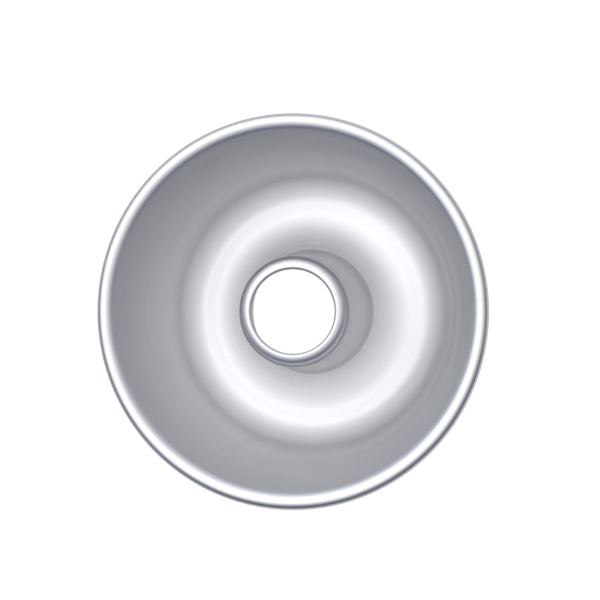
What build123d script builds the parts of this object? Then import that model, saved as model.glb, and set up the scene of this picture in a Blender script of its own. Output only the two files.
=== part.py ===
from build123d import *
import os
from math import acos, atan2, cos, degrees, hypot, radians, sin, sqrt

# Ring cake mould: a deep ring-shaped baking tin in satin aluminium sheet.
#
# The mould is two spun sheets and two rings of wire:
#   pan_body        outer wall, rounded trough and floor, with its mouth rolled outwards over a
#                   wire and its inner lip stepped down by one sheet to take the tube's flange
#   centre_tube     tapered chimney, with its top rolled outwards over a wire and its foot turned
#                   out into a flange that lies in the pan body's stepped lip
#   rim_wire        round wire held in the rolled mouth of the pan body
#   tube_rim_wire   round wire held in the rolled top of the centre tube
#
# Row frame: millimetres, +Z up, origin on the axis at the plane the mould stands on.
# Every part is a body of revolution about +Z. Profiles are drawn as (radius, height).

# ---------------------------------------------------------------- driving dimensions
RIM_OD = 200.0  # across the rolled rim
HEIGHT = 80.0  # standing plane to the top of the rolled rim
SHEET_T = 1.0  # aluminium sheet, both shells

RIM_ROLL_R = 3.7  # outside radius of the rolled rim
RIM_SHOULDER_R = 6.0  # bend from the wall into the roll, on the food side
RIM_BLEND = 95.0  # the shoulder runs into the roll here, in degrees round it
RIM_CURL_END = -134.0  # where the rim's roll stops

TUBE_THROAT_R = 21.3  # the tube's narrowest place, just under its top edge
TUBE_EDGE_R = 1.6  # bend from the tube's wall over its top edge, outside
TUBE_FLANK_R = 6.0  # the sloping side of the tube's roll, outside
TUBE_ROLL_R = 2.8  # the tube's roll round its wire, outside
TUBE_FLANK_FROM = 80.0  # the edge runs into the flank here, in degrees round it
TUBE_FLANK_TO = 10.0  # and the flank into the roll here
TUBE_CURL_END = -118.0  # where the tube's roll stops
TUBE_TOP = 74.0  # top of the tube's roll
TUBE_TAPER = 9.0  # half angle of the tube, wider at the foot

FLOOR_R_IN = 52.5  # the flat floor starts here
FLOOR_R_OUT = 56.5  # and ends here
TROUGH_R_OUT = 15.0  # bend from floor to outer wall, at the middle of the sheet
TROUGH_R_IN = 26.0  # bend from floor up to the tube, at the middle of the sheet

SEAM_R = 36.0  # edge of the tube's flange, on the food side
FOOT_BEND_R = 6.0  # bend from the tube's wall into its flange, at the middle of the sheet
LAP_GAP = 0.03  # between the two sheets in the lap
SEAM_GAP = 0.05  # between the flange's edge and the pan body's step
LIP_END = 1.5  # the lip stops this many degrees short of the tube's bend
WIRE_GAP = 0.05  # between a wire and the sheet rolled over it
WIRE_JOINT = 0.4  # gap where the two ends of a wire meet

# ---------------------------------------------------------------- profile helpers
H = SHEET_T / 2


def at(r, z):
    return Vector(r, 0, z)


def on_arc(centre, radius, deg):
    return (centre[0] + radius * cos(radians(deg)), centre[1] + radius * sin(radians(deg)))


def line(a, b):
    return Edge.make_line(at(*a), at(*b))


def arc(centre, radius, start, end):
    """Arc round centre from angle start to angle end, in degrees, either way round."""
    mid = (start + end) / 2
    return Edge.make_three_point_arc(
        at(*on_arc(centre, radius, start)),
        at(*on_arc(centre, radius, mid)),
        at(*on_arc(centre, radius, end)),
    )


def spun(edges, sweep=360.0, start=0.0):
    """Closed profile turned about the axis."""
    face = Face(Wire(edges))
    solid = Solid.revolve(face, sweep, Axis.Z)
    if start:
        solid = solid.rotate(Axis.Z, start)
    return solid


def line_leaves_circle(p, d, centre, radius):
    """The last point along p + s * d that is on the circle."""
    fx, fz = p[0] - centre[0], p[1] - centre[1]
    b = fx * d[0] + fz * d[1]
    c = fx * fx + fz * fz - radius * radius
    s = -b + sqrt(b * b - c)
    return (p[0] + s * d[0], p[1] + s * d[1])


def bearing(centre, p):
    return degrees(atan2(p[1] - centre[1], p[0] - centre[0]))


# ---------------------------------------------------------------- inner bend and its lap seam
# The pan body's bend and the tube's flange share one circle, so the food side runs through.
bend_c = (FLOOR_R_IN, H + TROUGH_R_IN)
per_mm = degrees(1.0 / TROUGH_R_IN)  # degrees of the bend for each millimetre along it
flange_under = 180.0 + degrees(acos((FLOOR_R_IN - SEAM_R) / (TROUGH_R_IN - H))) - SHEET_T * per_mm
flange_food = flange_under + SHEET_T * per_mm  # the edge is pressed to 45 degrees
step_shift = SEAM_GAP * sqrt(2) * per_mm
back_shift = step_shift + SHEET_T * (sqrt(2) - 1) * per_mm
lip_in = TROUGH_R_IN + H + LAP_GAP  # the stepped lip's two faces
lip_out = lip_in + SHEET_T

# ---------------------------------------------------------------- centre tube, from the top down
T = SHEET_T
tube_start = 180.0 + TUBE_TAPER  # the straight wall is tangent to the top edge here
down = (sin(radians(TUBE_TAPER)), -cos(radians(TUBE_TAPER)))
out_n = (cos(radians(TUBE_TAPER)), sin(radians(TUBE_TAPER)))  # points to the food side

# Edge, flank and roll are three arcs, each tangent to the next.
edge_c = (TUBE_THROAT_R + TUBE_EDGE_R, TUBE_TOP - TUBE_EDGE_R)
flank_c = on_arc(edge_c, TUBE_EDGE_R - TUBE_FLANK_R, TUBE_FLANK_FROM)
roll_c = on_arc(flank_c, TUBE_FLANK_R - TUBE_ROLL_R, TUBE_FLANK_TO)


def tube_top(inset, back=False):
    """The three arcs of the tube's top, a distance inside its outer surface."""
    arcs = [
        (edge_c, TUBE_EDGE_R - inset, tube_start, TUBE_FLANK_FROM),
        (flank_c, TUBE_FLANK_R - inset, TUBE_FLANK_FROM, TUBE_FLANK_TO),
        (roll_c, TUBE_ROLL_R - inset, TUBE_FLANK_TO, TUBE_CURL_END),
    ]
    if back:
        return [arc(c, r, e, b) for c, r, b, e in reversed(arcs)]
    return [arc(c, r, b, e) for c, r, b, e in arcs]


wall_in_top = on_arc(edge_c, TUBE_EDGE_R, tube_start)  # hollow side
wall_out_top = on_arc(edge_c, TUBE_EDGE_R - T, tube_start)  # food side
wall_mid_top = on_arc(edge_c, TUBE_EDGE_R - H, tube_start)

# The small bend is tangent to the straight wall and to the flange's circle.
off = (wall_mid_top[0] + out_n[0] * FOOT_BEND_R, wall_mid_top[1] + out_n[1] * FOOT_BEND_R)
foot_c = line_leaves_circle(off, down, bend_c, TROUGH_R_IN - FOOT_BEND_R)
foot_a = 180.0 + TUBE_TAPER  # angle on the small bend where the wall ends
foot_b = bearing(bend_c, foot_c) % 360.0  # and where the flange starts

centre_tube = spun(
    tube_top(T, back=True)  # food side, from the end of the roll over the top and down
    + [
        line(wall_out_top, on_arc(foot_c, FOOT_BEND_R - H, foot_a)),
        arc(foot_c, FOOT_BEND_R - H, foot_a, foot_b),
        arc(bend_c, TROUGH_R_IN - H, foot_b, flange_food),
        line(on_arc(bend_c, TROUGH_R_IN - H, flange_food), on_arc(bend_c, TROUGH_R_IN + H, flange_under)),
        # hollow side, back up
        arc(bend_c, TROUGH_R_IN + H, flange_under, foot_b),
        arc(foot_c, FOOT_BEND_R + H, foot_b, foot_a),
        line(on_arc(foot_c, FOOT_BEND_R + H, foot_a), wall_in_top),
    ]
    + tube_top(0.0)
    + [line(on_arc(roll_c, TUBE_ROLL_R, TUBE_CURL_END), on_arc(roll_c, TUBE_ROLL_R - T, TUBE_CURL_END))]
)

# ---------------------------------------------------------------- pan body, from the lip outwards
rim_c = (RIM_OD / 2 - RIM_ROLL_R, HEIGHT - RIM_ROLL_R)
shoulder_c = on_arc(rim_c, RIM_ROLL_R - RIM_SHOULDER_R, RIM_BLEND)
wall_c = (FLOOR_R_OUT, H + TROUGH_R_OUT)

# The wall is the line tangent to the outer bend and to the rim's shoulder.
dr, dz = shoulder_c[0] - wall_c[0], shoulder_c[1] - wall_c[1]
WALL_TAPER = degrees(acos((RIM_SHOULDER_R - H + TROUGH_R_OUT) / hypot(dr, dz)) - atan2(dz, dr))

rim_start = 180.0 - WALL_TAPER
lip_end = foot_b + LIP_END
pan_body = spun(
    [
        # food side, from the lip down the step, along the floor and up to the end of the roll
        arc(bend_c, lip_in, lip_end, flange_under + step_shift),
        line(on_arc(bend_c, lip_in, flange_under + step_shift), on_arc(bend_c, TROUGH_R_IN - H, flange_food + step_shift)),
        arc(bend_c, TROUGH_R_IN - H, flange_food + step_shift, 270.0),
        line((FLOOR_R_IN, SHEET_T), (FLOOR_R_OUT, SHEET_T)),
        arc(wall_c, TROUGH_R_OUT - H, -90.0, -WALL_TAPER),
        line(on_arc(wall_c, TROUGH_R_OUT - H, -WALL_TAPER), on_arc(shoulder_c, RIM_SHOULDER_R, rim_start)),
        arc(shoulder_c, RIM_SHOULDER_R, rim_start, RIM_BLEND),
        arc(rim_c, RIM_ROLL_R, RIM_BLEND, RIM_CURL_END),
        line(on_arc(rim_c, RIM_ROLL_R, RIM_CURL_END), on_arc(rim_c, RIM_ROLL_R - T, RIM_CURL_END)),
        # underside, back down and inwards
        arc(rim_c, RIM_ROLL_R - T, RIM_CURL_END, RIM_BLEND),
        arc(shoulder_c, RIM_SHOULDER_R - T, RIM_BLEND, rim_start),
        line(on_arc(shoulder_c, RIM_SHOULDER_R - T, rim_start), on_arc(wall_c, TROUGH_R_OUT + H, -WALL_TAPER)),
        arc(wall_c, TROUGH_R_OUT + H, -WALL_TAPER, -90.0),
        line((FLOOR_R_OUT, 0.0), (FLOOR_R_IN, 0.0)),
        arc(bend_c, TROUGH_R_IN + H, 270.0, flange_food + back_shift),
        line(on_arc(bend_c, TROUGH_R_IN + H, flange_food + back_shift), on_arc(bend_c, lip_out, flange_under + back_shift)),
        arc(bend_c, lip_out, flange_under + back_shift, lip_end),
        line(on_arc(bend_c, lip_out, lip_end), on_arc(bend_c, lip_in, lip_end)),
    ]
)

# ---------------------------------------------------------------- wires
def wire_ring(centre, radius):
    """Round wire bent to a ring, its two ends meeting on the +X side."""
    gap = degrees(WIRE_JOINT / centre[0])
    face = Face(Wire([Edge.make_circle(radius, Plane(at(*centre), x_dir=(1, 0, 0), z_dir=(0, 1, 0)))]))
    return Solid.revolve(face, 360.0 - gap, Axis.Z).rotate(Axis.Z, gap / 2)


rim_wire_r = RIM_ROLL_R - T - WIRE_GAP
tube_wire_r = TUBE_ROLL_R - T - WIRE_GAP
rim_wire = wire_ring(rim_c, rim_wire_r)
tube_rim_wire = wire_ring(roll_c, tube_wire_r)

# ---------------------------------------------------------------- write the parts
os.makedirs("parts", exist_ok=True)
parts = {
    "pan_body": pan_body,
    "centre_tube": centre_tube,
    "rim_wire": rim_wire,
    "tube_rim_wire": tube_rim_wire,
}
for name, solid in parts.items():
    solid.label = name
    export_step(solid, f"parts/{name}.step")

if __name__ == "__main__":
    print("wall taper", round(WALL_TAPER, 3), "degrees")
    print("tube wall ends at", on_arc(foot_c, FOOT_BEND_R - H, foot_a), "flange from", foot_b, "to", flange_food)
    print("outer bend meets wall at r", round(on_arc(wall_c, TROUGH_R_OUT - H, -WALL_TAPER)[0], 3))
    print("roll centres", rim_c, roll_c, "wire radii", rim_wire_r, tube_wire_r)
    for name, solid in parts.items():
        box = solid.bounding_box()
        print(name, "volume", round(solid.volume, 1), "valid", solid.is_valid, "z", round(box.min.Z, 3), round(box.max.Z, 3), "x", round(box.min.X, 3), round(box.max.X, 3))
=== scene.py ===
from math import acos, atan2, cos, degrees, hypot, pi, radians, sin, sqrt, tan

import bmesh
import bpy
from mathutils import Matrix, Vector


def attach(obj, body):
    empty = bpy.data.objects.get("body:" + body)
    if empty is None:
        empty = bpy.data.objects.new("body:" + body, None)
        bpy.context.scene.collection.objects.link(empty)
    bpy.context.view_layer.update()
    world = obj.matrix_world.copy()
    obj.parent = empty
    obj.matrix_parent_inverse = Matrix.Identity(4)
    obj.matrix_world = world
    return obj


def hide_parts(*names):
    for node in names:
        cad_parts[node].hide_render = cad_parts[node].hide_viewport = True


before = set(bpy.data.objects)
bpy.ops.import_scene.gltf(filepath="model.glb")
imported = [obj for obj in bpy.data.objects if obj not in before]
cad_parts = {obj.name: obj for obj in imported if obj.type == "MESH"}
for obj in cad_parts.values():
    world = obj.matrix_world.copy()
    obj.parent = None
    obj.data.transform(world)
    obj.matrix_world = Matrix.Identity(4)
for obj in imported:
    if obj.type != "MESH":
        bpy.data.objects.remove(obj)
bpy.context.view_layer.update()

# ------------------------------------------------------------------ dimensions, in millimetres
# The same numbers as the CAD part, so each skin lies on its CAD solid.
RIM_OD = 200.0
HEIGHT = 80.0
SHEET_T = 1.0
RIM_ROLL_R = 3.7
RIM_SHOULDER_R = 6.0
RIM_BLEND = 95.0
RIM_CURL_END = -134.0
TUBE_THROAT_R = 21.3
TUBE_EDGE_R = 1.6
TUBE_FLANK_R = 6.0
TUBE_ROLL_R = 2.8
TUBE_FLANK_FROM = 80.0
TUBE_FLANK_TO = 10.0
TUBE_CURL_END = -118.0
TUBE_TOP = 74.0
TUBE_TAPER = 9.0
FLOOR_R_IN = 52.5
FLOOR_R_OUT = 56.5
TROUGH_R_OUT = 15.0
TROUGH_R_IN = 26.0
SEAM_R = 36.0
FOOT_BEND_R = 6.0
LAP_GAP = 0.03
SEAM_GAP = 0.05
LIP_END = 1.5

H = SHEET_T / 2
SEGMENTS = 240


# ------------------------------------------------------------------ profiles, as lists of (r, z)
def on_arc(c, radius, deg):
    return (c[0] + radius * cos(radians(deg)), c[1] + radius * sin(radians(deg)))


def arc(c, radius, a, b, step=0.45):
    """Points along an arc, both ends included, about step millimetres apart."""
    n = max(2, int(abs(radians(b - a)) * radius / step + 0.5), int(abs(b - a) / 5.0 + 0.5))
    return [on_arc(c, radius, a + (b - a) * i / n) for i in range(n + 1)]


def line(p, q, near=0.35, far=4.0):
    """Points along a line, close together at both ends and wider apart between."""
    length = hypot(q[0] - p[0], q[1] - p[1])
    ts, s, d = [0.0], 0.0, near
    while s + d < length / 2:
        s += d
        ts.append(s)
        d = min(d * 1.6, far)
    ts = ts + [length - t for t in reversed(ts)]
    return [(p[0] + (q[0] - p[0]) * t / length, p[1] + (q[1] - p[1]) * t / length) for t in ts]


def leaves_circle(p, d, c, radius):
    fx, fz = p[0] - c[0], p[1] - c[1]
    b = fx * d[0] + fz * d[1]
    k = fx * fx + fz * fz - radius * radius
    s = -b + sqrt(b * b - k)
    return (p[0] + s * d[0], p[1] + s * d[1])


def bearing(c, p):
    return degrees(atan2(p[1] - c[1], p[0] - c[0]))


def eased(points, corner, radius=0.06):
    """Rounds the sharp corners of a closed profile, inside its own outline."""
    out = []
    n = len(points)
    for i, p in enumerate(points):
        a, b = points[i - 1], points[(i + 1) % n]
        ua, ub = (a[0] - p[0], a[1] - p[1]), (b[0] - p[0], b[1] - p[1])
        la, lb = hypot(*ua), hypot(*ub)
        ang = degrees(acos(max(-1.0, min(1.0, (ua[0] * ub[0] + ua[1] * ub[1]) / (la * lb)))))
        if ang > 180.0 - corner:
            out.append(p)
            continue
        t = min(radius, la * 0.45, lb * 0.45)
        pa = (p[0] + ua[0] / la * t, p[1] + ua[1] / la * t)
        pb = (p[0] + ub[0] / lb * t, p[1] + ub[1] / lb * t)
        for k in range(5):
            s = k / 4
            out.append(
                (
                    (1 - s) ** 2 * pa[0] + 2 * s * (1 - s) * p[0] + s * s * pb[0],
                    (1 - s) ** 2 * pa[1] + 2 * s * (1 - s) * p[1] + s * s * pb[1],
                )
            )
    return out


def joined(*runs):
    """Runs of points end to end, with the shared ends written once."""
    out = []
    for run in runs:
        for p in run:
            if not out or hypot(p[0] - out[-1][0], p[1] - out[-1][1]) > 1e-4:
                out.append(p)
    if hypot(out[0][0] - out[-1][0], out[0][1] - out[-1][1]) < 1e-4:
        out.pop()
    return out


# inner bend and its lap seam
bend_c = (FLOOR_R_IN, H + TROUGH_R_IN)
per_mm = degrees(1.0 / TROUGH_R_IN)
flange_under = 180.0 + degrees(acos((FLOOR_R_IN - SEAM_R) / (TROUGH_R_IN - H))) - SHEET_T * per_mm
flange_food = flange_under + SHEET_T * per_mm
step_shift = SEAM_GAP * sqrt(2) * per_mm
back_shift = step_shift + SHEET_T * (sqrt(2) - 1) * per_mm
lip_in = TROUGH_R_IN + H + LAP_GAP
lip_out = lip_in + SHEET_T

# centre tube
T = SHEET_T
tube_start = 180.0 + TUBE_TAPER
down = (sin(radians(TUBE_TAPER)), -cos(radians(TUBE_TAPER)))
out_n = (cos(radians(TUBE_TAPER)), sin(radians(TUBE_TAPER)))
edge_c = (TUBE_THROAT_R + TUBE_EDGE_R, TUBE_TOP - TUBE_EDGE_R)
flank_c = on_arc(edge_c, TUBE_EDGE_R - TUBE_FLANK_R, TUBE_FLANK_FROM)
roll_c = on_arc(flank_c, TUBE_FLANK_R - TUBE_ROLL_R, TUBE_FLANK_TO)
wall_mid_top = on_arc(edge_c, TUBE_EDGE_R - H, tube_start)
off = (wall_mid_top[0] + out_n[0] * FOOT_BEND_R, wall_mid_top[1] + out_n[1] * FOOT_BEND_R)
foot_c = leaves_circle(off, down, bend_c, TROUGH_R_IN - FOOT_BEND_R)
foot_a = 180.0 + TUBE_TAPER
foot_b = bearing(bend_c, foot_c) % 360.0

tube_profile = eased(
    joined(
        arc(roll_c, TUBE_ROLL_R - T, TUBE_CURL_END, TUBE_FLANK_TO, 0.3),
        arc(flank_c, TUBE_FLANK_R - T, TUBE_FLANK_TO, TUBE_FLANK_FROM, 0.5),
        arc(edge_c, TUBE_EDGE_R - T, TUBE_FLANK_FROM, tube_start, 0.2),
        line(on_arc(edge_c, TUBE_EDGE_R - T, tube_start), on_arc(foot_c, FOOT_BEND_R - H, foot_a)),
        arc(foot_c, FOOT_BEND_R - H, foot_a, foot_b, 0.2),
        arc(bend_c, TROUGH_R_IN - H, foot_b, flange_food),
        [on_arc(bend_c, TROUGH_R_IN + H, flange_under)],
        arc(bend_c, TROUGH_R_IN + H, flange_under, foot_b, 0.9),
        arc(foot_c, FOOT_BEND_R + H, foot_b, foot_a, 0.4),
        line(on_arc(foot_c, FOOT_BEND_R + H, foot_a), on_arc(edge_c, TUBE_EDGE_R, tube_start)),
        arc(edge_c, TUBE_EDGE_R, tube_start, TUBE_FLANK_FROM, 0.15),
        arc(flank_c, TUBE_FLANK_R, TUBE_FLANK_FROM, TUBE_FLANK_TO, 0.22),
        arc(roll_c, TUBE_ROLL_R, TUBE_FLANK_TO, TUBE_CURL_END, 0.22),
    ),
    30.0,
)

# pan body
rim_c = (RIM_OD / 2 - RIM_ROLL_R, HEIGHT - RIM_ROLL_R)
shoulder_c = on_arc(rim_c, RIM_ROLL_R - RIM_SHOULDER_R, RIM_BLEND)
wall_c = (FLOOR_R_OUT, H + TROUGH_R_OUT)
dr, dz = shoulder_c[0] - wall_c[0], shoulder_c[1] - wall_c[1]
WALL_TAPER = degrees(acos((RIM_SHOULDER_R - H + TROUGH_R_OUT) / hypot(dr, dz)) - atan2(dz, dr))
rim_start = 180.0 - WALL_TAPER
lip_end = foot_b + LIP_END

pan_profile = eased(
    joined(
        arc(bend_c, lip_in, lip_end, flange_under + step_shift, 0.9),
        [on_arc(bend_c, TROUGH_R_IN - H, flange_food + step_shift)],
        arc(bend_c, TROUGH_R_IN - H, flange_food + step_shift, 270.0),
        line((FLOOR_R_IN, SHEET_T), (FLOOR_R_OUT, SHEET_T)),
        arc(wall_c, TROUGH_R_OUT - H, -90.0, -WALL_TAPER),
        line(on_arc(wall_c, TROUGH_R_OUT - H, -WALL_TAPER), on_arc(shoulder_c, RIM_SHOULDER_R, rim_start)),
        arc(shoulder_c, RIM_SHOULDER_R, rim_start, RIM_BLEND, 0.3),
        arc(rim_c, RIM_ROLL_R, RIM_BLEND, RIM_CURL_END, 0.25),
        arc(rim_c, RIM_ROLL_R - T, RIM_CURL_END, RIM_BLEND, 0.5),
        arc(shoulder_c, RIM_SHOULDER_R - T, RIM_BLEND, rim_start, 0.8),
        line(on_arc(shoulder_c, RIM_SHOULDER_R - T, rim_start), on_arc(wall_c, TROUGH_R_OUT + H, -WALL_TAPER)),
        arc(wall_c, TROUGH_R_OUT + H, -WALL_TAPER, -90.0, 0.8),
        line((FLOOR_R_OUT, 0.0), (FLOOR_R_IN, 0.0)),
        arc(bend_c, TROUGH_R_IN + H, 270.0, flange_food + back_shift, 0.9),
        [on_arc(bend_c, lip_out, flange_under + back_shift)],
        arc(bend_c, lip_out, flange_under + back_shift, lip_end, 0.9),
    ),
    30.0,
)


# ------------------------------------------------------------------ meshes
def spun(name, profile, node):
    """A closed profile turned round the axis, standing for a CAD node."""
    bm = bmesh.new()
    rings = []
    for i in range(SEGMENTS):
        a = 2 * pi * i / SEGMENTS
        ca, sa = cos(a), sin(a)
        rings.append([bm.verts.new((r * ca / 1000, r * sa / 1000, z / 1000)) for r, z in profile])
    n = len(profile)
    for i in range(SEGMENTS):
        u, v = rings[i], rings[(i + 1) % SEGMENTS]
        for k in range(n):
            m = (k + 1) % n
            bm.faces.new((u[k], u[m], v[m], v[k]))
    bmesh.ops.recalc_face_normals(bm, faces=bm.faces)
    mesh = bpy.data.meshes.new(name)
    bm.to_mesh(mesh)
    bm.free()
    for p in mesh.polygons:
        p.use_smooth = True
    mesh.set_sharp_from_angle(angle=radians(40))
    obj = bpy.data.objects.new(name, mesh)
    bpy.context.scene.collection.objects.link(obj)
    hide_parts(node)
    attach(obj, "root")
    return obj


pan = spun("pan_skin", pan_profile, "pan_body")
tube = spun("tube_skin", tube_profile, "centre_tube")


# ------------------------------------------------------------------ materials
class Tree:
    """Short names for the nodes of one material. Positions are in metres, in the part's own frame."""

    def __init__(self, name):
        self.mat = bpy.data.materials.new(name)
        self.mat.use_nodes = True
        self.nodes, self.links = self.mat.node_tree.nodes, self.mat.node_tree.links
        self.nodes.clear()
        out = self.nodes.new("ShaderNodeOutputMaterial")
        self.bsdf = self.nodes.new("ShaderNodeBsdfPrincipled")
        self.links.new(self.bsdf.outputs[0], out.inputs[0])
        self.pos = self.nodes.new("ShaderNodeTexCoord").outputs["Object"]
        sep = self.nodes.new("ShaderNodeSeparateXYZ")
        self.links.new(self.pos, sep.inputs[0])
        self.x, self.y, self.z = sep.outputs[0], sep.outputs[1], sep.outputs[2]
        self.r = self.math("SQRT", self.math("ADD", self.math("MULTIPLY", self.x, self.x), self.math("MULTIPLY", self.y, self.y)))

    def put(self, socket, value):
        if isinstance(value, (int, float)):
            socket.default_value = value
        else:
            self.links.new(value, socket)

    def math(self, op, a, b=0.0, c=0.0):
        n = self.nodes.new("ShaderNodeMath")
        n.operation = op
        for socket, value in zip(n.inputs, (a, b, c)):
            self.put(socket, value)
        return n.outputs[0]

    def ramp(self, value, lo, hi, to_lo=0.0, to_hi=1.0):
        n = self.nodes.new("ShaderNodeMapRange")
        n.interpolation_type = "SMOOTHSTEP"
        self.links.new(value, n.inputs["Value"])
        for key, v in (("From Min", lo), ("From Max", hi), ("To Min", to_lo), ("To Max", to_hi)):
            n.inputs[key].default_value = v
        return n.outputs["Result"]

    def vector(self, x, y, z):
        n = self.nodes.new("ShaderNodeCombineXYZ")
        for socket, value in zip(n.inputs, (x, y, z)):
            self.put(socket, value)
        return n.outputs[0]

    def noise(self, vector, scale, detail=2.0, rough=0.5):
        n = self.nodes.new("ShaderNodeTexNoise")
        n.inputs["Scale"].default_value = scale
        n.inputs["Detail"].default_value = detail
        n.inputs["Roughness"].default_value = rough
        self.links.new(vector, n.inputs["Vector"])
        return n.outputs["Fac"]

    def swing(self, value, amount):
        """A 0..1 value as -amount..+amount."""
        return self.math("MULTIPLY_ADD", value, 2 * amount, -amount)

    def scratch(self, a, b, width, low=0.0, high=1.0):
        """1 on a thin straight mark seen from above between two points, in millimetres, fading out round it."""
        ax, ay, bx, by = a[0] / 1000, a[1] / 1000, b[0] / 1000, b[1] / 1000
        length = hypot(bx - ax, by - ay)
        ux, uy = (bx - ax) / length, (by - ay) / length
        along = self.math("ADD", self.math("MULTIPLY", self.math("SUBTRACT", self.x, ax), ux), self.math("MULTIPLY", self.math("SUBTRACT", self.y, ay), uy))
        across = self.math("ABSOLUTE", self.math("SUBTRACT", self.math("MULTIPLY", self.math("SUBTRACT", self.x, ax), uy), self.math("MULTIPLY", self.math("SUBTRACT", self.y, ay), ux)))
        beyond = self.math("MAXIMUM", self.math("MULTIPLY", along, -1.0), self.math("SUBTRACT", along, length))
        ends = self.ramp(beyond, -length * 0.35, 0.0, 1.0, 0.0)
        side = self.ramp(across, 0.0, width / 1000, 1.0, 0.0)
        return self.math("MULTIPLY", ends, side)

    def total(self, *values):
        out = values[0]
        for v in values[1:]:
            out = self.math("ADD", out, v)
        return out

    def grey(self, value, tint=(1.0, 1.0, 1.0)):
        """A grey level as a colour, with a slight tint."""
        n = self.nodes.new("ShaderNodeCombineColor")
        for socket, k in zip(n.inputs, tint):
            self.put(socket, self.math("MULTIPLY", value, k))
        return n.outputs[0]

    def bump(self, height, strength, distance):
        n = self.nodes.new("ShaderNodeBump")
        n.inputs["Strength"].default_value = strength
        n.inputs["Distance"].default_value = distance
        self.links.new(height, n.inputs["Height"])
        self.links.new(n.outputs[0], self.bsdf.inputs["Normal"])


ROUGH = 0.42  # spun walls and trough
ROUGH_ROLL = 0.30  # rolled rims, burnished by the roller
ANISO = 0.6  # across the spinning rings, so highlights spread along the profile
ANISO_TURN = 0.25
EDGE_TINT = 0.35  # dull at grazing angles
ALBEDO = 0.77
WALL_PAINTED_SHADE = 0.92  # painted shade: the outer wall is made a little darker than the trough
ROLL_PAINTED_SHADE = 0.84  # painted shade: the rolls are made darker than the trough too, which dims their highlight
TINT = (1.0, 1.0, 1.0)
TUBE_PAINTED_LIGHT = 0.05  # painted light: the tube is made a little brighter than the trough
FLANGE_PAINTED_SHADE = -0.035  # painted shade: a darker ring on the flange round the tube
TROUGH_PAINTED_SHADE = 0.0  # and the painted shade on the trough outside it
DIP_PAINTED_SHADE = -0.03  # painted shade: a darker ring where the trough turns up into the wall
FOOT_PAINTED_SHADE = -0.06  # painted shade: a dark line in the crease along the bend at the foot of the tube


def satin_aluminium(name, rolls, roll_painted_shade, rings, scuffs=()):
    """Spun aluminium sheet: rings left by the spinning tool, burnished rolls, a few handling marks, and painted
    light and shade.

    rolls: the 0..1 mask of the rolled edge, from the tree.
    roll_painted_shade: painted shade on the roll, how much darker its reflectance is made than the sheet next
    to it.
    rings: painted light and shade in rings along the profile, from the tree.
    scuffs: (kind, from, to, width, strength) marks, in millimetres seen from above.
    """
    t = Tree(name)
    b = t.bsdf
    b.inputs["Metallic"].default_value = 1.0
    b.inputs["Anisotropic"].default_value = ANISO
    b.inputs["Anisotropic Rotation"].default_value = ANISO_TURN
    b.inputs["Specular Tint"].default_value = (EDGE_TINT, EDGE_TINT, EDGE_TINT * 1.02, 1)
    along = t.nodes.new("ShaderNodeTangent")
    along.direction_type = "RADIAL"
    along.axis = "Z"
    t.links.new(along.outputs[0], b.inputs["Tangent"])

    # Rings: quick across the profile, slow round the axis.
    slow = t.math("ADD", t.math("MULTIPLY", t.x, 9.0), t.math("MULTIPLY", t.y, 7.0))
    across = t.vector(t.r, t.z, t.math("MULTIPLY", slow, 0.0004))
    fine = t.noise(across, 2600.0, 2.0, 0.6)
    mid = t.noise(across, 420.0, 2.0, 0.55)
    wide = t.noise(t.vector(t.r, t.z, t.math("MULTIPLY", slow, 0.004)), 130.0, 1.0, 0.5)
    cloud = t.noise(t.pos, 24.0, 3.0, 0.55)
    grain = t.noise(t.pos, 1500.0, 2.0, 0.6)

    roll = rolls(t)
    # Marks are placed from above, so they are kept off the outside of the wall.
    wr, wz = on_arc(wall_c, TROUGH_R_OUT, -WALL_TAPER)
    steep = 1 / tan(radians(WALL_TAPER))
    inner = t.ramp(t.math("SUBTRACT", t.z, t.math("MULTIPLY_ADD", t.r, steep, (wz - wr * steep) / 1000)), -0.0008, 0.0008)
    food = t.math("MAXIMUM", inner, t.ramp(t.r, 0.0905, 0.0920))
    masks = [(kind, t.math("MULTIPLY", t.scratch(p, q, w), food), k) for kind, p, q, w, k in scuffs]
    marks_dark = [t.math("MULTIPLY", m, k) for kind, m, k in masks if kind == "dark"]
    marks_light = [t.math("MULTIPLY", m, k) for kind, m, k in masks if kind == "light"]
    marks = [m for kind, m, k in masks]

    tone = t.total(
        # painted shade: the outer wall darker than the trough
        t.ramp(t.r, 0.071, 0.077, ALBEDO, ALBEDO * WALL_PAINTED_SHADE),
        # painted shade on the rolls
        t.math("MULTIPLY", roll, roll_painted_shade),
        # painted light and shade in rings along the profile
        rings(t),
        t.swing(fine, 0.030),
        t.swing(mid, 0.034),
        t.swing(wide, 0.034),
        t.swing(cloud, 0.020),
        t.swing(grain, 0.012),
        *marks_light,
    )
    for m in marks_dark:
        tone = t.math("SUBTRACT", tone, m)
    t.links.new(t.grey(tone, TINT), b.inputs["Base Color"])

    rough = t.total(
        t.math("MULTIPLY_ADD", roll, ROUGH_ROLL - ROUGH, ROUGH),
        t.swing(fine, 0.050),
        t.swing(mid, 0.050),
        t.swing(wide, 0.045),
        t.swing(cloud, 0.030),
    )
    t.links.new(rough, b.inputs["Roughness"])

    calm = t.math("MULTIPLY_ADD", roll, -0.75, 1.0)
    height = t.math("MULTIPLY", t.total(t.math("MULTIPLY", fine, 0.45), t.math("MULTIPLY", mid, 1.8), t.math("MULTIPLY", wide, 4.5), t.math("MULTIPLY", grain, 0.15)), calm)
    for m in marks:
        height = t.math("MULTIPLY_ADD", m, -0.8, height)
    t.bump(height, 0.55, 0.00002)
    return t.mat


def rim_mask(t):
    return t.ramp(t.r, 0.0915, 0.0935)


def tube_mask(t):
    return t.ramp(t.z, 0.064, 0.067)


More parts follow.
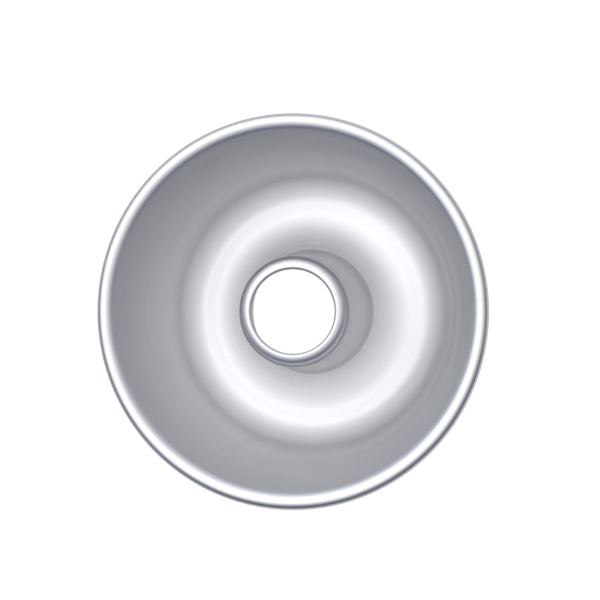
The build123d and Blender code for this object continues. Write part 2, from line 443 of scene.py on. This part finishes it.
# Painted shade: a darker ring on the flange round the tube and one where the trough turns up into the wall.
def pan_painted_shade(t):
    dip_shade = t.ramp(t.math("ABSOLUTE", t.math("SUBTRACT", t.r, 0.0705)), 0.0, 0.0035, DIP_PAINTED_SHADE, 0.0)
    return t.math("ADD", t.ramp(t.r, 0.0396, 0.0418, FLANGE_PAINTED_SHADE, TROUGH_PAINTED_SHADE), dip_shade)


# Painted light on the tube wall, painted shade on the flange round it and in the crease along its foot.
def tube_painted_light_and_shade(t):
    # painted shade in the crease at the foot of the tube
    foot = t.ramp(t.math("ABSOLUTE", t.math("SUBTRACT", t.r, 0.0325)), 0.0, 0.0026, FOOT_PAINTED_SHADE, 0.0)
    return t.math("ADD", t.ramp(t.r, 0.0325, 0.0345, TUBE_PAINTED_LIGHT, FLANGE_PAINTED_SHADE), foot)


pan.data.materials.append(
    satin_aluminium(
        "satin_aluminium_pan",
        rim_mask,
        # painted shade on the rolled rim, net of the wall's painted shade under it
        ALBEDO * (ROLL_PAINTED_SHADE - WALL_PAINTED_SHADE) - TROUGH_PAINTED_SHADE,
        pan_painted_shade,
        (
            ("dark", (-49.5, 72.4), (-37.0, 79.8), 1.3, 0.07),
            ("dark", (-47.5, 70.8), (-39.0, 76.2), 0.8, 0.06),
            ("dark", (-57.0, 34.0), (-55.6, 33.4), 0.5, 0.16),
            ("light", (-47.0, -21.5), (-40.5, -24.2), 0.30, 0.10),
            ("light", (-45.0, -20.0), (-42.0, -23.8), 0.25, 0.08),
            ("dark", (92.5, 5.70), (100.5, 6.30), 0.30, 0.16),
            ("dark", (20.0, -79.5), (33.0, -76.0), 0.35, 0.05),
            ("light", (62.0, 46.0), (66.5, 40.0), 0.30, 0.06),
        ),
    )
)
tube.data.materials.append(
    satin_aluminium(
        "satin_aluminium_tube",
        tube_mask,
        # painted shade on the tube's roll, net of the painted light on the tube
        ALBEDO * (ROLL_PAINTED_SHADE - 1.0) - TUBE_PAINTED_LIGHT,
        tube_painted_light_and_shade,
        (
            ("dark", (14.0, -24.6), (18.5, -21.4), 0.30, 0.08),
            ("light", (-29.5, 13.0), (-31.0, 8.5), 0.30, 0.06),
        ),
    )
)

# Drawn steel wire: lines run along the wire, so they are quick across r and z.
w = Tree("drawn_steel_wire")
w.bsdf.inputs["Metallic"].default_value = 1.0
draw = w.noise(w.vector(w.r, w.z, w.math("MULTIPLY", w.math("ADD", w.x, w.y), 0.01)), 3800.0, 2.0, 0.6)
spots = w.noise(w.pos, 320.0, 3.0, 0.6)
w.links.new(w.grey(w.total(w.math("MULTIPLY_ADD", draw, 0.10, 0.36), w.math("MULTIPLY", spots, 0.08)), (1.0, 0.99, 0.97)), w.bsdf.inputs["Base Color"])
w.links.new(w.total(w.math("MULTIPLY_ADD", draw, 0.14, 0.28), w.math("MULTIPLY", spots, 0.10)), w.bsdf.inputs["Roughness"])
w.bump(draw, 0.4, 0.00002)
for n in ("rim_wire", "tube_rim_wire"):
    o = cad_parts[n]
    o.data.materials.clear()
    o.data.materials.append(w.mat)

# ------------------------------------------------------------------ floor
me = bpy.data.meshes.new("floor")
me.from_pydata([(-6, -6, 0), (6, -6, 0), (6, 6, 0), (-6, 6, 0)], [], [(0, 1, 2, 3)])
floor = bpy.data.objects.new("floor", me)
bpy.context.scene.collection.objects.link(floor)
FLOOR_GLOW = 0.95  # a white table under the mould that glows: a painted pool of light, this bright near the mould
FLOOR_FAR = 0.12  # and the painted glow farther out, beyond the pool
f = Tree("floor_paint")
f.bsdf.inputs["Base Color"].default_value = (0.14, 0.14, 0.14, 1)
f.bsdf.inputs["Roughness"].default_value = 0.9
f.bsdf.inputs["Specular IOR Level"].default_value = 0.0
f.bsdf.inputs["Emission Color"].default_value = (1, 1, 1, 1)
dx, dy = f.math("ADD", f.x, 0.05), f.math("SUBTRACT", f.y, 0.05)
away = f.math("SQRT", f.math("ADD", f.math("MULTIPLY", dx, dx), f.math("MULTIPLY", dy, dy)))
seen = f.nodes.new("ShaderNodeLightPath").outputs["Is Camera Ray"]  # the pool's edge shows only in reflections
pool = f.ramp(away, 0.30, 0.52, FLOOR_GLOW, FLOOR_FAR)
f.links.new(f.math("MAXIMUM", pool, f.math("MULTIPLY", seen, FLOOR_GLOW)), f.bsdf.inputs["Emission Strength"])
me.materials.append(f.mat)

# ------------------------------------------------------------------ light
SKY = 0.92  # the bright part of the studio dome
LEAN_TO = 10.0  # degrees left of the top of the picture
SHADE = 0.09  # its dark part, low down behind the lower right of the picture
LEAN = 0.40  # how far the bright part leans to the upper left
EDGE = (0.1, 0.82)  # where the dome fades from dark to bright

LAMP = 0.95  # radiance the lamp adds
LAMP_FROM_TOP = 26.0  # its middle, degrees from straight up
LAMP_TO = 33.0  # degrees left of the top of the picture
LAMP_EDGE = (14.0, 54.0)  # full inside, gone outside, in degrees

world = bpy.data.worlds.new("studio")
bpy.context.scene.world = world
world.use_nodes = True
nodes, links = world.node_tree.nodes, world.node_tree.links
background = nodes["Background"]
coord = nodes.new("ShaderNodeTexCoord")
dot = nodes.new("ShaderNodeVectorMath")
dot.operation = "DOT_PRODUCT"
dot.inputs[1].default_value = (-LEAN * sin(radians(LEAN_TO)), LEAN * cos(radians(LEAN_TO)), 1.0)
links.new(coord.outputs["Generated"], dot.inputs[0])
ramp = nodes.new("ShaderNodeMapRange")
ramp.interpolation_type = "SMOOTHSTEP"
ramp.inputs["From Min"].default_value = EDGE[0]
ramp.inputs["From Max"].default_value = EDGE[1]
ramp.inputs["To Min"].default_value = 0.0
ramp.inputs["To Max"].default_value = 1.0
links.new(dot.outputs["Value"], ramp.inputs["Value"])
mix = nodes.new("ShaderNodeMix")
mix.data_type = "RGBA"
mix.inputs["A"].default_value = (SHADE * 0.72, SHADE * 0.90, SHADE * 1.75, 1)
# cool on the left of the picture, neutral on the right
side = nodes.new("ShaderNodeVectorMath")
side.operation = "DOT_PRODUCT"
side.inputs[1].default_value = (-0.8, 0.6, 0.0)
links.new(coord.outputs["Generated"], side.inputs[0])
cool = nodes.new("ShaderNodeMapRange")
cool.inputs["From Min"].default_value = -0.7
cool.inputs["From Max"].default_value = 0.7
links.new(side.outputs["Value"], cool.inputs["Value"])
sky = nodes.new("ShaderNodeMix")
sky.data_type = "RGBA"
sky.inputs["A"].default_value = (SKY * 1.00, SKY * 0.985, SKY * 1.00, 1)
sky.inputs["B"].default_value = (SKY * 0.90, SKY * 0.975, SKY * 1.19, 1)
links.new(cool.outputs["Result"], sky.inputs["Factor"])
links.new(sky.outputs["Result"], mix.inputs["B"])
links.new(ramp.outputs["Result"], mix.inputs["Factor"])

# A wide soft lamp in the dome, above the mould and towards the top of the picture.
lamp_dot = nodes.new("ShaderNodeVectorMath")
lamp_dot.operation = "DOT_PRODUCT"
lamp_dot.inputs[1].default_value = (
    -sin(radians(LAMP_FROM_TOP)) * sin(radians(LAMP_TO)),
    sin(radians(LAMP_FROM_TOP)) * cos(radians(LAMP_TO)),
    cos(radians(LAMP_FROM_TOP)),
)
links.new(coord.outputs["Generated"], lamp_dot.inputs[0])
lamp = nodes.new("ShaderNodeMapRange")
lamp.interpolation_type = "SMOOTHSTEP"
lamp.inputs["From Min"].default_value = cos(radians(LAMP_EDGE[1]))
lamp.inputs["From Max"].default_value = cos(radians(LAMP_EDGE[0]))
lamp.inputs["To Min"].default_value = 0.0
lamp.inputs["To Max"].default_value = 1.0
links.new(lamp_dot.outputs["Value"], lamp.inputs["Value"])
both = nodes.new("ShaderNodeMix")
both.data_type = "RGBA"
both.blend_type = "ADD"
both.inputs["Factor"].default_value = 1.0
glow = nodes.new("ShaderNodeMix")
glow.data_type = "RGBA"
glow.inputs["A"].default_value = (0, 0, 0, 1)
glow.inputs["B"].default_value = (LAMP * 1.035, LAMP * 1.01, LAMP * 0.93, 1)
links.new(lamp.outputs["Result"], glow.inputs["Factor"])
links.new(mix.outputs["Result"], both.inputs["A"])
links.new(glow.outputs["Result"], both.inputs["B"])
# Behind the mould the camera sees plain pale paper; the dome shows in reflections and as light.
path = nodes.new("ShaderNodeLightPath")
paper = nodes.new("ShaderNodeMix")
paper.data_type = "RGBA"
paper.inputs["B"].default_value = (0.93, 0.93, 0.93, 1)
links.new(path.outputs["Is Camera Ray"], paper.inputs["Factor"])
links.new(both.outputs["Result"], paper.inputs["A"])
links.new(paper.outputs["Result"], background.inputs["Color"])
background.inputs["Strength"].default_value = 1.0


# ------------------------------------------------------------------ camera
DIST = 4000.0  # camera to the rim's centre, in picture elements at the rim
RIM_PX = 198.4  # the rim's outer radius in a frame 600 wide
TILT = 9.4  # camera off the mould's axis, towards +X, in degrees
CENTRE = (293.3, 311.6)  # where the rim's centre is in the frame
px = RIM_OD / 2 / 1000 / RIM_PX
rim_centre = Vector((0, 0, rim_c[1] / 1000))
LEAD = RIM_PX**2 * sin(radians(TILT)) * cos(radians(TILT)) / DIST  # a tilted circle's middle is off its centre
back = Vector((sin(radians(TILT)), 0, cos(radians(TILT))))
up = Vector((0, 1, 0))
right = up.cross(back)
place = rim_centre + back * DIST * px
aim = rim_centre + right * (300 - CENTRE[0] + LEAD) * px + up * (CENTRE[1] - 300) * px
cam_data = bpy.data.cameras.new("camera")
cam_data.sensor_width = 36.0
cam_data.lens = 36.0 * DIST / 600.0
cam_data.clip_start = 0.01
cam_data.clip_end = 50
cam = bpy.data.objects.new("camera", cam_data)
bpy.context.scene.collection.objects.link(cam)
cam.location = place
zaxis = (place - aim).normalized()
xaxis = up.cross(zaxis).normalized()
yaxis = zaxis.cross(xaxis)
m = Matrix((xaxis, yaxis, zaxis)).transposed().to_4x4()
m.translation = place
cam.matrix_world = m
bpy.context.scene.camera = cam

bpy.context.scene.view_settings.view_transform = "Standard"
